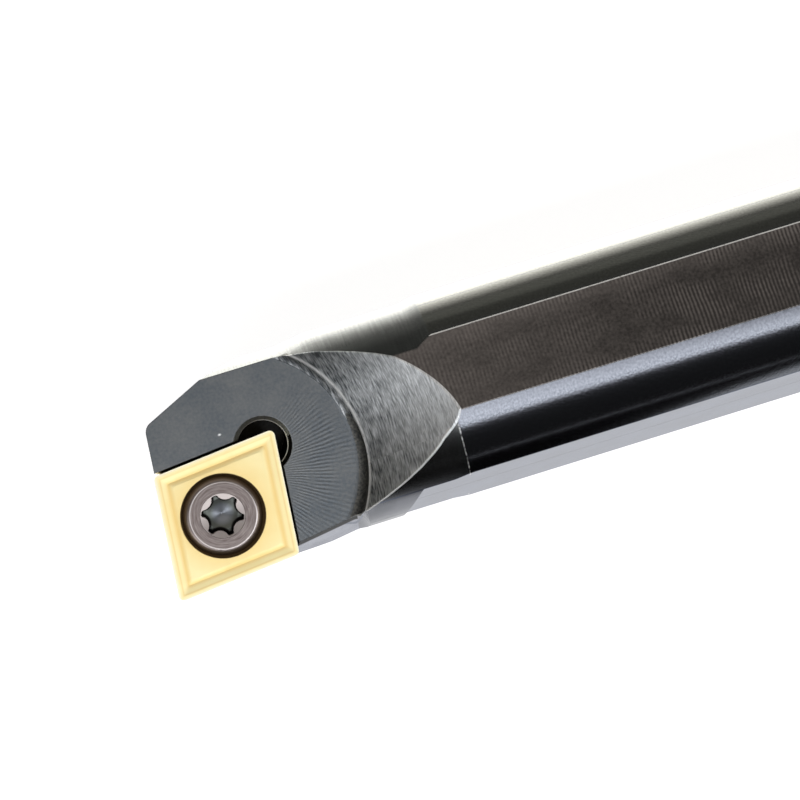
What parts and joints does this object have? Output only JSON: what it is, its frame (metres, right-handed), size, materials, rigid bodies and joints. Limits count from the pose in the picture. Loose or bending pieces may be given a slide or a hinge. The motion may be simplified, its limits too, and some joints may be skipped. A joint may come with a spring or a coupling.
{
  "type": "boring bar",
  "caption": "Right-hand boring bar: a round black steel shank with clamping flats and a rhombic coated carbide insert held in the milled head by a countersunk screw.",
  "frame": {"origin": "centre of the shank's rear end face, on the bar's axis", "axes": "+X along the bar's axis, from the cutting head to the rear end; +Z square to the top clamping flat, pointing out of it; the cutting corner is on the -Y side"},
  "size_m": [0.18, 0.0172, 0.0148],
  "materials": {
    "bar_body": "black oxide, ground shank, milled flats and head",
    "cutting_insert": "pale gold coating on cemented carbide",
    "insert_screw": "turned, black oxide"
  },
  "bodies": {
    "root": {"bar_body": "bar_body", "cutting_insert": "cutting_insert", "insert_screw": "insert_screw"}
  },
  "joints": []
}
